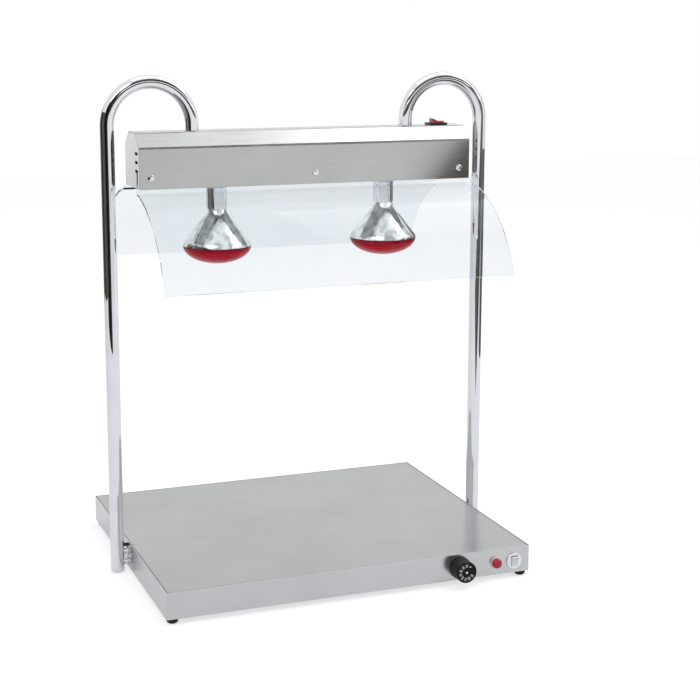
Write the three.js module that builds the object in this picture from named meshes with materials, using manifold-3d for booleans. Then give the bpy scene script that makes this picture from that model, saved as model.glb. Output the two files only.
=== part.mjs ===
// Heat lamp food warmer: a heated base, two cane-shaped posts, and a lamp housing with two red lamps
// and two curved clear guards. Millimetres. X runs along the front, Y from front to back, Z up.
// The origin is the middle of the base's footprint, on the table.
import * as THREE from "three";
import { mergeVertices } from "three/addons/utils/BufferGeometryUtils.js";
import Module from "manifold-3d";

const wasm = await Module();
wasm.setup();

// Driving dimensions
const baseWidth = 684;
const baseDepth = 570;
const footHeight = 10;
const skirtHeight = 48;
const postRadius = 12.5;
const postStandoff = 6.5;
const hookRadius = 77;
const hookStraight = 10;
const housingInset = 25;
const housingDepth = 104;
const housingBottom = 711;
const housingFrontHeight = 73;
const roofRise = 25;
const roofFlat = 48;
const legToLamp = 44;
const legToSwitch = 64;
const lampRadius = 62.5;
const lampLength = 180.5;
const guardOverhang = 5;
const guardRadius = 246;
const guardThickness = 4;

// Fits, cuts and facet counts
const gap = 0.3;
const play = 0.5;
const overrun = 3;
const roundSides = 24;
const plainSides = 16;
const smallSides = 12;
const wireSides = 8;

// Places that several pieces share
const baseTop = footHeight + skirtHeight;
const sideX = baseWidth / 2;
const frontY = -baseDepth / 2;
const backY = baseDepth / 2;
const postX = sideX + postStandoff + postRadius;
const innerLegX = postX - 2 * hookRadius;
const roofTop = housingBottom + housingFrontHeight + roofRise;
const lampX = innerLegX - legToLamp;
const switchX = innerLegX + legToSwitch;
const housingLength = baseWidth - 2 * housingInset;
const guardLength = housingLength + 2 * guardOverhang;

// Directions for turned pieces, which are drawn along +Y
const quarter = Math.PI / 2;
const upright = [quarter, 0, 0];
const toFront = [Math.PI, 0, 0];
const toLeft = [0, 0, quarter];
const toRight = [0, 0, -quarter];

const warmer = new THREE.Group();
warmer.name = "heat_lamp_food_warmer";

function add(name, geometry, material, position = [0, 0, 0], rotation = [0, 0, 0]) {
  const mesh = new THREE.Mesh(geometry, material);
  mesh.name = name;
  mesh.position.set(...position);
  mesh.rotation.set(...rotation);
  warmer.add(mesh);
}

function finish(color, roughness, metalness) {
  return new THREE.MeshStandardMaterial({ color, roughness, metalness });
}

function brushedSteel() {
  return finish("#b9bbbb", 0.38, 1);
}

function zincSteel() {
  return finish("#a9adb0", 0.5, 1);
}

function chrome() {
  return finish("#dfe1e4", 0.06, 1);
}

function blackPlastic() {
  return finish("#131313", 0.35, 0);
}

function rubber() {
  return finish("#17181a", 0.8, 0);
}

function redPlastic() {
  return finish("#c4213a", 0.2, 0);
}

function ceramic() {
  return finish("#e9e6de", 0.4, 0);
}

function clearSheet() {
  const material = finish("#dfe8ec", 0.05, 0);
  material.transparent = true;
  material.opacity = 0.3;
  return material;
}

// Closed mesh to solid and back
function solidOf(geometry) {
  const bare = geometry.clone();
  bare.deleteAttribute("normal");
  bare.deleteAttribute("uv");
  const merged = mergeVertices(bare);
  const mesh = new wasm.Mesh({
    numProp: 3,
    vertProperties: merged.attributes.position.array,
    triVerts: new Uint32Array(merged.index.array),
  });
  return new wasm.Manifold(mesh);
}

function geometryOf(solid) {
  const mesh = solid.getMesh();
  const geometry = new THREE.BufferGeometry();
  geometry.setAttribute("position", new THREE.BufferAttribute(mesh.vertProperties, mesh.numProp));
  geometry.setIndex(new THREE.BufferAttribute(mesh.triVerts, 1));
  geometry.computeVertexNormals();
  return geometry;
}

function cut(body, ...tools) {
  return geometryOf(tools.reduce((left, tool) => left.subtract(solidOf(tool)), solidOf(body)));
}

function join(body, ...others) {
  return geometryOf(others.reduce((whole, other) => whole.add(solidOf(other)), solidOf(body)));
}

// Block between two opposite corners
function block(low, high) {
  const size = high.map((value, i) => value - low[i]);
  const middle = high.map((value, i) => (value + low[i]) / 2);
  return new THREE.BoxGeometry(...size).translate(...middle);
}

// Block centred across the width and the depth, with round upright edges
function roundedBlock(width, depth, radius, low, high) {
  const x = width / 2 - radius;
  const y = depth / 2 - radius;
  const shape = new THREE.Shape();
  shape.absarc(x, y, radius, 0, quarter);
  shape.absarc(-x, y, radius, quarter, 2 * quarter);
  shape.absarc(-x, -y, radius, 2 * quarter, 3 * quarter);
  shape.absarc(x, -y, radius, 3 * quarter, 4 * quarter);
  const options = { depth: high - low, bevelEnabled: false, curveSegments: 4 };
  return new THREE.ExtrudeGeometry(shape, options).translate(0, 0, low);
}

// Round bars along each axis, from one coordinate to another, through a point of the other two
function rodX(radius, from, to, [y, z], sides = plainSides) {
  const rod = new THREE.CylinderGeometry(radius, radius, to - from, sides);
  return rod.rotateZ(-quarter).translate((from + to) / 2, y, z);
}

function rodY(radius, from, to, [x, z], sides = plainSides) {
  const rod = new THREE.CylinderGeometry(radius, radius, to - from, sides);
  return rod.translate(x, (from + to) / 2, z);
}

function rodZ(radius, from, to, [x, y], sides = plainSides) {
  const rod = new THREE.CylinderGeometry(radius, radius, to - from, sides);
  return rod.rotateX(quarter).translate(x, y, (from + to) / 2);
}

// Tools for clearance holes, which run past both faces of the wall that they cut
function holeX(radius, faces, place, sides = smallSides) {
  return rodX(radius + play, Math.min(...faces) - overrun, Math.max(...faces) + overrun, place, sides);
}

function holeY(radius, faces, place, sides = smallSides) {
  return rodY(radius + play, Math.min(...faces) - overrun, Math.max(...faces) + overrun, place, sides);
}

function holeZ(radius, faces, place, sides = smallSides) {
  return rodZ(radius + play, Math.min(...faces) - overrun, Math.max(...faces) + overrun, place, sides);
}

// Turned piece along +Y from pairs of radius and height, anticlockwise from the axis
function turned(profile, sides = plainSides) {
  return new THREE.LatheGeometry(profile.map(([r, h]) => new THREE.Vector2(r, h)), sides);
}

// Outline of a sheet that follows an open line, with its thickness on the line's left
function sheetOutline(line, thickness) {
  const points = line.map(([u, v]) => new THREE.Vector2(u, v));
  const normals = points.slice(1).map((point, i) => {
    const along = point.clone().sub(points[i]).normalize();
    return new THREE.Vector2(-along.y, along.x);
  });
  const offset = points.map((point, i) => {
    const before = normals[Math.max(i - 1, 0)];
    const after = normals[Math.min(i, normals.length - 1)];
    const mitre = before.clone().add(after).divideScalar(1 + before.dot(after));
    return point.clone().addScaledVector(mitre, thickness);
  });
  return [...points, ...offset.reverse()];
}

const alongX = new THREE.Vector3(1, 0, 0);
const alongY = new THREE.Vector3(0, 1, 0);
const alongZ = new THREE.Vector3(0, 0, 1);

// An outline in depth and height, drawn out along X and centred on it
function drawnAlongX(outline, length) {
  const options = { depth: length, bevelEnabled: false };
  const geometry = new THREE.ExtrudeGeometry(new THREE.Shape(outline), options);
  geometry.translate(0, 0, -length / 2);
  return geometry.applyMatrix4(new THREE.Matrix4().makeBasis(alongY, alongZ, alongX));
}

// An outline in width and height, drawn out along Y and centred on it
function drawnAlongY(outline, length) {
  const options = { depth: length, bevelEnabled: false };
  const geometry = new THREE.ExtrudeGeometry(new THREE.Shape(outline), options);
  geometry.translate(0, 0, -length / 2);
  const towardsFront = alongY.clone().negate();
  return geometry.applyMatrix4(new THREE.Matrix4().makeBasis(alongX, alongZ, towardsFront));
}

function circle(radius, sides) {
  const turn = (2 * Math.PI) / sides;
  const point = (_, i) => new THREE.Vector2(radius * Math.cos(i * turn), radius * Math.sin(i * turn));
  return Array.from({ length: sides }, point);
}

// Line through given stations, with one ring of a tube at each
class StationLine extends THREE.Curve {
  constructor(stations) {
    super();
    this.stations = stations;
  }

  getPoint(t) {
    const last = this.stations.length - 1;
    const place = Math.min(Math.max(t, 0), 1) * last;
    const index = Math.min(Math.floor(place), last - 1);
    return this.stations[index].clone().lerp(this.stations[index + 1], place - index);
  }

  getUtoTmapping(u) {
    return u;
  }
}

// Tube or, with no wall given, solid bar through the stations
function tubeThrough(stations, radius, sides, wall = 0) {
  const shape = new THREE.Shape(circle(radius, sides));
  if (wall > 0) shape.holes.push(new THREE.Path(circle(radius - wall, sides)));
  const options = { steps: stations.length - 1, extrudePath: new StationLine(stations) };
  return new THREE.ExtrudeGeometry(shape, options);
}

// Stations on an arc round a centre, from one angle to another, in the plane of two directions
function arcStations(centre, radius, from, to, steps, across, up) {
  return Array.from({ length: steps + 1 }, (_, i) => {
    const angle = from + ((to - from) * i) / steps;
    const point = centre.clone().addScaledVector(across, radius * Math.cos(angle));
    return point.addScaledVector(up, radius * Math.sin(angle));
  });
}

// Controls on the front panel, and the standoffs and sleeve on the sides
const controlHeight = 33;
const mainsInset = 32;
const mainsToPilot = 36.5;
const pilotToKnob = 72;
const mainsX = sideX - mainsInset;
const pilotX = mainsX - mainsToPilot;
const knobX = pilotX - pilotToKnob;
const standoffHeights = { upper: 38.5, lower: 18.5 };
const sleeveHeight = 50.6;

// Base: folded steel body, with a rim that stands round the top plate and flanges that carry it
const skirtWall = 1.5;
const skirtCorner = 4;
const plateThickness = 2;
const plateSeam = 1.4;
const seatFlange = 16;
const footFlange = 26;
const plateBottom = baseTop - plateThickness;
const seatTop = plateBottom - gap;
const insideX = sideX - skirtWall;
const insideY = backY - skirtWall;
const footFlangeTop = footHeight + skirtWall;

const footInset = 13;
const footStemRadius = 3;
const shankRadius = 4;
const bushRadius = 4.8;
const pilotBarrelRadius = 7;
const mainsBarrelRadius = 12.5;
const glandBarrelRadius = 7.7;
const sleeveRadius = 3.1;
const glandInset = 127;
const glandX = sideX - glandInset;

const footPlaces = [
  ["foot_front_left", -sideX + footInset, frontY + footInset],
  ["foot_front_right", sideX - footInset, frontY + footInset],
  ["foot_rear_left", -sideX + footInset, backY - footInset],
  ["foot_rear_right", sideX - footInset, backY - footInset],
];

function baseBody() {
  const shell = roundedBlock(baseWidth, baseDepth, skirtCorner, footHeight, baseTop);
  const recess = block([-insideX, -insideY, seatTop], [insideX, insideY, baseTop + overrun]);
  const seatX = sideX - seatFlange;
  const seatY = backY - seatFlange;
  const hollowTop = seatTop - skirtWall;
  const through = block([-seatX, -seatY, hollowTop - overrun], [seatX, seatY, baseTop + overrun]);
  const hollow = block([-insideX, -insideY, footFlangeTop], [insideX, insideY, hollowTop]);
  const openX = sideX - footFlange;
  const openY = backY - footFlange;
  const bottom = block([-openX, -openY, footHeight - overrun], [openX, openY, footFlangeTop + overrun]);
  const front = [frontY, frontY + skirtWall];
  const frontHole = (radius, x) => holeY(radius, front, [x, controlHeight], plainSides);
  const sideHole = (radius, side, z) => holeX(radius, [side * insideX, side * sideX], [0, z]);
  const feet = footPlaces.map(([, x, y]) => holeZ(footStemRadius, [footHeight, footFlangeTop], [x, y]));
  const shanks = Object.values(standoffHeights).flatMap((z) => [
    sideHole(shankRadius, -1, z),
    sideHole(shankRadius, 1, z),
  ]);
  return cut(
    shell,
    recess,
    through,
    hollow,
    bottom,
    frontHole(bushRadius, knobX),
    frontHole(pilotBarrelRadius, pilotX),
    frontHole(mainsBarrelRadius, mainsX),
    holeY(glandBarrelRadius, [insideY, backY], [glandX, controlHeight], plainSides),
    sideHole(sleeveRadius, -1, sleeveHeight),
    ...feet,
    ...shanks,
  );
}

function topPlate() {
  const x = insideX - plateSeam;
  const y = insideY - plateSeam;
  return roundedBlock(2 * x, 2 * y, skirtCorner - skirtWall, plateBottom, baseTop);
}

add("base_body", baseBody(), brushedSteel());
add("top_plate", topPlate(), brushedSteel());

// Bottom cover: thin sheet that lies on the foot flanges
const coverThickness = 1;
const coverLap = 6;
const coverX = sideX - footFlange + coverLap;
const coverY = backY - footFlange + coverLap;
const coverBottom = footFlangeTop + gap;
const coverTop = coverBottom + coverThickness;
add("bottom_cover", block([-coverX, -coverY, coverBottom], [coverX, coverY, coverTop]), zincSteel());

// Insulation: mineral wool board on the cover, behind the controls
const matThickness = 20;
const matInset = 42;
const matFront = 85;
const matBottom = coverTop + gap;
const matX = sideX - matInset;
add(
  "insulation_mat",
  block([-matX, frontY + matFront, matBottom], [matX, backY - matInset, matBottom + matThickness]),
  finish("#b8a878", 0.95, 0),
);

// Heating element: one steel-clad rod in four runs under the plate, with both ends on the right
const elementRadius = 3.2;
const runPitch = 110;
const runInset = 107;
const runHalf = sideX - runInset;
const runCount = 4;
const elementHeight = plateBottom - gap - elementRadius;

function heatingElement() {
  const steps = 6;
  const firstY = (-(runCount - 1) * runPitch) / 2;
  const stations = [new THREE.Vector3(runHalf, firstY, elementHeight)];
  for (let turn = 0; turn < runCount - 1; turn += 1) {
    const side = turn % 2 === 0 ? -1 : 1;
    const centre = new THREE.Vector3(side * runHalf, firstY + (turn + 0.5) * runPitch, elementHeight);
    const across = alongX.clone().multiplyScalar(side);
    stations.push(...arcStations(centre, runPitch / 2, -quarter, quarter, steps, across, alongY));
  }
  stations.push(new THREE.Vector3(runHalf, -firstY, elementHeight));
  return tubeThrough(stations, elementRadius, wireSides);
}

add("heating_element", heatingElement(), zincSteel());

// Element clamp: bar across the four runs, with legs up to the plate between them
const clampWidth = 24;
const clampThickness = 2.5;
const clampOverhang = 20;
const clampLeg = 16;
const clampTop = elementHeight - elementRadius - gap;

function elementClamp() {
  const x = clampWidth / 2;
  const reach = ((runCount - 1) * runPitch) / 2 + clampOverhang;
  const bar = block([-x, -reach, clampTop - clampThickness], [x, reach, clampTop]);
  const leg = (y) =>
    block([-x, y - clampLeg / 2, clampTop - clampThickness], [x, y + clampLeg / 2, plateBottom - gap]);
  const between = Array.from({ length: runCount - 1 }, (_, i) => (i - (runCount - 2) / 2) * runPitch);
  return join(bar, ...between.map(leg));
}

add("element_clamp", elementClamp(), zincSteel());

// Thermostat: box behind the front wall, with a bush through it that guides the shaft
const thermostatWidth = 34;
const thermostatDepth = 26;
const bushReach = 1;
const shaftRadius = 3;
const shaftInside = 14;
const knobGap = 1.5;
const shaftInKnob = 18;
const thermostatFront = frontY + skirtWall + gap;
const thermostatBack = thermostatFront + thermostatDepth;

function thermostatBody() {
  const x = thermostatWidth / 2;
  const place = [knobX, controlHeight];
  const box = block(
    [knobX - x, thermostatFront, controlHeight - x],
    [knobX + x, thermostatBack, controlHeight + x],
  );
  const bush = rodY(bushRadius, frontY - bushReach, thermostatFront + overrun, place);
  const bore = rodY(shaftRadius + play, frontY - overrun, frontY + shaftInside + play, place);
  return cut(join(box, bush), bore);
}

add("thermostat_body", thermostatBody(), finish("#cfcabd", 0.5, 0));
add(
  "thermostat_shaft",
  rodY(shaftRadius, frontY - knobGap - shaftInKnob, frontY + shaftInside, [knobX, controlHeight]),
  finish("#c3b27a", 0.35, 1),
);

// Knob: round black dial with a bore for the shaft, open towards the panel
const knobRadius = 20.5;
const knobFaceRadius = 19.5;
const knobLength = 28;
const knobRound = 1.5;

function thermostatKnob() {
  return turned(
    [
      [0, shaftInKnob + gap],
      [shaftRadius + play, shaftInKnob + gap],
      [shaftRadius + play, 0],
      [knobRadius, 0],
      [knobFaceRadius, knobLength - knobRound],
      [knobFaceRadius - knobRound, knobLength],
      [0, knobLength],
    ],
    roundSides,
  );
}

add("thermostat_knob", thermostatKnob(), blackPlastic(), [knobX, frontY - knobGap, controlHeight], toFront);

// Sensor: bulb against the plate's underside, and its capillary down to the back of the thermostat
const sensorRadius = 3;
const sensorLength = 90;
const sensorClear = 45;
const capillaryRadius = 1.2;
const capillaryDrop = 12;

function thermostatSensor() {
  const z = plateBottom - gap - sensorRadius;
  const left = clampWidth / 2 + sensorClear;
  const right = left + sensorLength;
  const bulb = rodX(sensorRadius, left, right, [-runPitch, z], smallSides);
  const low = z - capillaryDrop;
  const route = new THREE.CatmullRomCurve3([
    new THREE.Vector3(right - sensorRadius, -runPitch, z),
    new THREE.Vector3(right + capillaryDrop, -runPitch, (z + low) / 2),
    new THREE.Vector3(knobX, -runPitch - capillaryDrop, low),
    new THREE.Vector3(knobX, (-runPitch + thermostatBack) / 2, low),
    new THREE.Vector3(knobX, thermostatBack + gap, controlHeight),
  ]);
  const steps = 14;
  const capillary = tubeThrough(route.getPoints(steps), capillaryRadius, wireSides);
  return join(bulb, capillary);
}

add("thermostat_sensor", thermostatSensor(), finish("#b4733f", 0.35, 1));

// Pilot lamp: pale bezel with a barrel through the panel, and a red domed lens on a stem
const bezelRadius = 11;
const bezelThickness = 2;
const pilotDepth = 22;
const lensRadius = 9;
const lensStraight = 4.5;
const lensRise = 5;
const lensStemRadius = 4;
const lensStemLength = 6;

function pilotBody() {
  return turned([
    [0, -pilotDepth],
    [pilotBarrelRadius, -pilotDepth],
    [pilotBarrelRadius, gap],
    [bezelRadius, gap],
    [bezelRadius, bezelThickness],
    [lensStemRadius + play, bezelThickness],
    [lensStemRadius + play, bezelThickness - lensStemLength],
    [0, bezelThickness - lensStemLength],
  ]);
}

function pilotLens() {
  const steps = 4;
  const seat = bezelThickness + gap;
  const domeFoot = seat + lensStraight;
  const dome = Array.from({ length: steps + 1 }, (_, i) => {
    const angle = (quarter * i) / steps;
    return [lensRadius * Math.cos(angle), domeFoot + lensRise * Math.sin(angle)];
  });
  dome[steps][0] = 0;
  const stemEnd = seat - lensStemLength + play;
  return turned([
    [0, stemEnd],
    [lensStemRadius, stemEnd],
    [lensStemRadius, seat],
    [lensRadius, seat],
    ...dome,
  ]);
}

const pilotPlace = [pilotX, frontY, controlHeight];
add("pilot_lamp_body", pilotBody(), finish("#d9d3cf", 0.4, 0), pilotPlace, toFront);
add("pilot_lamp_lens", pilotLens(), redPlastic(), pilotPlace, toFront);

// Rockers: a dished key that tips about its middle, drawn at the tilt in which it rests
function rockerOutline(half, rise, dip, depth, tilt) {
  const foot = half - depth / 2;
  const points = [
    [-half, rise],
    [-foot, -depth],
    [foot, -depth],
    [half, rise],
    [0, dip],
  ];
  return points.map(([u, v]) => new THREE.Vector2(u, v).rotateAround(new THREE.Vector2(), tilt));
}

const rockerTilt = (12 * Math.PI) / 180;

// Mains switch: round bright bezel with a barrel through the panel, and a pale rocker
const mainsBezelRadius = 15;
const mainsBezelThickness = 3;
const mainsDepth = 20;
const mainsKeyHalf = 8.4;
const mainsKeyWidth = 12;
const mainsKeyRise = 5;
const mainsKeyDip = 3;
const mainsKeyDepth = 3.5;
const mainsHingeDrop = 1;
const mainsCavityDepth = 8;
const mainsHinge = mainsBezelThickness - mainsHingeDrop;

function mainsSwitchBody() {
  const shell = turned(
    [
      [0, -mainsDepth],
      [mainsBarrelRadius, -mainsDepth],
      [mainsBarrelRadius, gap],
      [mainsBezelRadius, gap],
      [mainsBezelRadius, mainsBezelThickness],
      [0, mainsBezelThickness],
    ],
    roundSides,
  );
  const x = mainsKeyWidth / 2 + play;
  const z = mainsKeyHalf + play;
  const cavity = block([-x, mainsHinge - mainsCavityDepth, -z], [x, mainsBezelThickness + overrun, z]);
  return cut(shell, cavity);
}

function mainsRocker() {
  const outline = rockerOutline(mainsKeyHalf, mainsKeyRise, mainsKeyDip, mainsKeyDepth, rockerTilt);
  const key = drawnAlongY(outline, mainsKeyWidth);
  return key.rotateZ(quarter).rotateX(quarter);
}

add("mains_switch_body", mainsSwitchBody(), chrome(), [mainsX, frontY, controlHeight], toFront);
add("mains_rocker", mainsRocker(), finish("#d8dade", 0.3, 0), [mainsX, frontY - mainsHinge, controlHeight]);

// Terminal block on the cover, and the gland in the back wall that the supply cord enters by
const terminalSize = { x: 60, y: 22, z: 16 };
const terminalInset = 45;
const slotWidth = 2;
const slotDepth = 4;
const terminalWays = 5;

function terminalBlock() {
  const low = [-terminalSize.x / 2, -terminalSize.y / 2, 0];
  const high = [terminalSize.x / 2, terminalSize.y / 2, terminalSize.z];
  const pitch = terminalSize.x / terminalWays;
  const slots = Array.from({ length: terminalWays - 1 }, (_, i) => {
    const x = (i + 1) * pitch - terminalSize.x / 2;
    return block(
      [x - slotWidth / 2, low[1] - overrun, terminalSize.z - slotDepth],
      [x + slotWidth / 2, high[1] + overrun, terminalSize.z + overrun],
    );
  });
  return cut(block(low, high), ...slots);
}

const matRear = backY - matInset;
const terminalY = matRear + gap + terminalSize.y / 2;
add("terminal_block", terminalBlock(), ceramic(), [glandX - terminalInset, terminalY, coverTop + gap]);

const glandFlangeRadius = 12;
const glandFlange = 5;
const glandNutRadius = 10.5;
const glandReach = 22;
const glandMouthRadius = 7;
const glandInside = 10;
const glandBore = 1.9;

function cableGland() {
  return turned([
    [glandBore, -glandInside],
    [glandBarrelRadius, -glandInside],
    [glandBarrelRadius, gap],
    [glandFlangeRadius, gap],
    [glandFlangeRadius, glandFlange],
    [glandNutRadius, glandFlange],
    [glandNutRadius, (glandFlange + glandReach) / 2],
    [glandMouthRadius, glandReach],
    [glandBore, glandReach],
    [glandBore, -glandInside],
  ]);
}

add("cable_gland", cableGland(), blackPlastic(), [glandX, backY, controlHeight]);

// Feet: round rubber buttons with a stem pushed through the foot flange
const footRadius = 10;
const footTreadRadius = 6.5;
const footRound = 4;
const footStemLength = 5;

function foot() {
  const top = footHeight - gap;
  return turned(
    [
      [0, 0],
      [footTreadRadius, 0],
      [footRadius - footRound / 4, footRound / 2],
      [footRadius, footRound],
      [footRadius, top],
      [footStemRadius, top],
      [footStemRadius, top + footStemLength],
      [0, top + footStemLength],
    ],
    smallSides,
  );
}

footPlaces.forEach(([name, x, y]) => add(name, foot(), rubber(), [x, y, 0], upright));

// Posts: chromed tube up from beside the base, over in a half circle and down into the lamp housing
const postWall = 1.5;
const postBottom = 4;
const postTail = 26;
const roofWall = 1.5;
const studRadius = 3;
const hookHeight = roofTop + hookStraight;
const tailBottom = roofTop - roofWall - postTail;

function post(side) {
  const steps = 14;
  const centre = new THREE.Vector3(side * (postX - hookRadius), 0, hookHeight);
  const outwards = alongX.clone().multiplyScalar(side);
  const tube = tubeThrough(
    [
      new THREE.Vector3(side * postX, 0, postBottom),
      ...arcStations(centre, hookRadius, 0, Math.PI, steps, outwards, alongZ),
      new THREE.Vector3(side * innerLegX, 0, tailBottom),
    ],
    postRadius,
    plainSides,
    postWall,
  );
  const innerFace = postX - postRadius;
  const wall = [side * innerFace, side * (innerFace + postWall)];
  const holes = Object.values(standoffHeights).map((z) => holeX(studRadius, wall, [0, z]));
  if (side < 0) holes.push(holeX(sleeveRadius, wall, [0, sleeveHeight]));
  return cut(tube, ...holes);
}

add("post_left", post(-1), chrome());
add("post_right", post(1), chrome());

// End plugs: chromed caps that close the tubes at the bottom
const plugInsert = 9;
const plugFlange = 2.5;
const plugEase = 1.8;

function postPlug() {
  const bore = postRadius - postWall - gap;
  return turned([
    [0, -gap - plugFlange],
    [postRadius - gap - plugEase, -gap - plugFlange],
    [postRadius - gap, plugEase - gap - plugFlange],
    [postRadius - gap, -gap],
    [bore - gap, -gap],
    [bore - gap, plugInsert],
    [0, plugInsert],
  ]);
}

add("post_plug_left", postPlug(), chrome(), [-postX, 0, postBottom], upright);
add("post_plug_right", postPlug(), chrome(), [postX, 0, postBottom], upright);

// Standoffs: chromed collars between base and post, with a shank inwards and a stud into the tube
const standoffRadius = 8.5;
const standoffFlange = 2.2;
const standoffNeck = 6;
const studLength = 4;
const shankEnd = 3;
const backingThickness = 4;
const backingMargin = 9;
const backingWidth = 30;

function standoff() {
  const shank = skirtWall + gap + backingThickness + shankEnd;
  const stud = postStandoff + postWall + studLength;
  return turned(
    [
      [0, -shank],
      [shankRadius, -shank],
      [shankRadius, gap],
      [standoffRadius, gap],
      [standoffRadius, standoffFlange],
      [standoffNeck, standoffFlange],
      [standoffNeck, postStandoff - gap],
      [studRadius, postStandoff - gap],
      [studRadius, stud],
      [0, stud],
    ],
    smallSides,
  );
}

for (const [level, z] of Object.entries(standoffHeights)) {
  add(`standoff_left_${level}`, standoff(), chrome(), [-sideX, 0, z], toLeft);
  add(`standoff_right_${level}`, standoff(), chrome(), [sideX, 0, z], toRight);
}

// Backing plates inside the side walls, which the two shanks of a side screw into
function backingPlate(side) {
  const near = side * (insideX - gap);
  const far = side * (insideX - gap - backingThickness);
  const [low, high] = [near, far].sort((a, b) => a - b);
  const bottom = Math.max(standoffHeights.lower - backingMargin, coverTop + gap);
  const top = standoffHeights.upper + backingMargin;
  const plate = block([low, -backingWidth / 2, bottom], [high, backingWidth / 2, top]);
  return cut(plate, ...Object.values(standoffHeights).map((z) => holeX(shankRadius, [low, high], [0, z])));
}

add("backing_plate_left", backingPlate(-1), zincSteel());
add("backing_plate_right", backingPlate(1), zincSteel());

// Cable sleeve: the lamps' supply crosses from the base into the left post inside it
const sleeveInBase = 8;
const sleeveInPost = 5;

add(
  "cable_sleeve",
  rodX(
    sleeveRadius,
    -sideX - postStandoff - sleeveInPost,
    -insideX + sleeveInBase,
    [0, sleeveHeight],
    smallSides,
  ),
  rubber(),
);

// Lamp housing: one sheet folded over front, roof and back, open below and at both ends
const screwRadius = 2;
const screwHeight = housingBottom + 20;
const screwInset = 21;
const screwReach = housingLength / 2 - screwInset;
const middleScrewX = 10;
const screwXs = [-screwReach, middleScrewX, screwReach];
const switchBodyX = 30;
const switchBodyY = 21;

function housingLine(inset) {
  const y = housingDepth / 2;
  const roofY = roofFlat / 2;
  const eaves = housingBottom + housingFrontHeight;
  return [
    [y, housingBottom + inset],
    [y, eaves],
    [roofY, roofTop],
    [-roofY, roofTop],
    [-y, eaves],
    [-y, housingBottom + inset],
  ];
}

function lampHousing() {
  const sheet = drawnAlongX(sheetOutline(housingLine(0), roofWall), housingLength);
  const y = housingDepth / 2;
  const screwHoles = screwXs.flatMap((x) => [
    holeY(screwRadius, [-y, -y + roofWall], [x, screwHeight]),
    holeY(screwRadius, [y - roofWall, y], [-x, screwHeight]),
  ]);
  const legHole = (x) => holeZ(postRadius, [roofTop - roofWall, roofTop], [x, 0], roundSides);
  const switchHole = block(
    [switchX - switchBodyX / 2 - play, -switchBodyY / 2 - play, roofTop - roofWall - overrun],
    [switchX + switchBodyX / 2 + play, switchBodyY / 2 + play, roofTop + overrun],
  );
  return cut(sheet, ...screwHoles, legHole(-innerLegX), legHole(innerLegX), switchHole);
}

add("lamp_housing", lampHousing(), brushedSteel());

// End caps: plates inside the folded sheet, with three oblong vents and a wide slot below the lowest
const capThickness = 1.5;
const ventRadius = 2.7;
const ventY = -31.5;
const ventHalf = 7.5;
const ventTop = 11;
const ventPitch = 15.5;
const ventSlot = 8;

function endCap(side) {
  const line = housingLine(gap);
  const inner = sheetOutline(line, roofWall + gap).slice(line.length);
  const plate = drawnAlongX(inner, capThickness);
  plate.translate((side * (housingLength - capThickness)) / 2, 0, 0);
  const [low, high] = [-housingLength / 2 - overrun, housingLength / 2 + overrun];
  const firstZ = housingBottom + housingFrontHeight - ventTop;
  const vent = (i) => {
    const z = firstZ - i * ventPitch;
    const [front, back] = [ventY - ventHalf, ventY + ventHalf];
    const middle = block([low, front, z - ventRadius], [high, back, z + ventRadius]);
    const ends = [front, back].map((y) => rodX(ventRadius, low, high, [y, z], smallSides));
    return join(middle, ...ends);
  };
  const vents = [0, 1, 2].map(vent);
  const slotFront = ventY - ventHalf;
  const slot = block(
    [low, slotFront, housingBottom - overrun],
    [high, slotFront + ventSlot, firstZ - 2 * ventPitch],
  );
  return cut(plate, ...vents, slot);
}

add("end_cap_left", endCap(-1), brushedSteel());
add("end_cap_right", endCap(1), brushedSteel());

// Guards: clear sheets, each with a tab up inside the housing, a tight bend and a long curve outwards
const guardTab = 32;
const guardBend = 6;
const guardSlope = (10 * Math.PI) / 180;
const guardSweep = (58 * Math.PI) / 180;
const tabFace = -(housingDepth / 2 - roofWall - gap);
const tabClear = 4;

function guardLine() {
  const bendSteps = 5;
  const sweepSteps = 12;
  const line = [[tabFace, housingBottom + guardTab]];
  for (let i = 0; i <= bendSteps; i += 1) {
    const angle = (-(quarter - guardSlope) * i) / bendSteps;
    const depth = tabFace - guardBend + guardBend * Math.cos(angle);
    line.push([depth, housingBottom + guardBend * Math.sin(angle)]);
  }
  const [startY, startZ] = line.at(-1);
  const centreY = startY + guardRadius * Math.sin(guardSlope);
  const centreZ = startZ - guardRadius * Math.cos(guardSlope);
  for (let i = 1; i <= sweepSteps; i += 1) {
    const angle = quarter + guardSlope + (guardSweep * i) / sweepSteps;
    line.push([centreY + guardRadius * Math.cos(angle), centreZ + guardRadius * Math.sin(angle)]);
  }
  return line;
}

function guard() {
  const sheet = drawnAlongX(sheetOutline(guardLine(), guardThickness), guardLength);
  const tabHalf = housingLength / 2 - capThickness - tabClear;
  const notch = (side) => {
    const [low, high] = [side * tabHalf, side * (guardLength / 2 + overrun)].sort((a, b) => a - b);
    return block(
      [low, tabFace - overrun, housingBottom - 2 * gap],
      [high, tabFace + guardThickness + overrun, housingBottom + guardTab + overrun],
    );
  };
  const holes = screwXs.map((x) =>
    holeY(screwRadius, [tabFace, tabFace + guardThickness], [x, screwHeight]),
  );
  return cut(sheet, notch(-1), notch(1), ...holes);
}

add("guard_front", guard(), clearSheet());
add("guard_rear", guard(), clearSheet(), [0, 0, 0], [0, 0, Math.PI]);

// Lamp carrier: channel across the bottom of the housing, whose flanges take the guard screws
const carrierWall = 1.5;
const carrierInset = 6;
const carrierFlange = 28;
const carrierFace = tabFace + guardThickness + gap;
const carrierBottom = housingBottom + carrierInset;
const collarRadius = 19;

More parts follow.
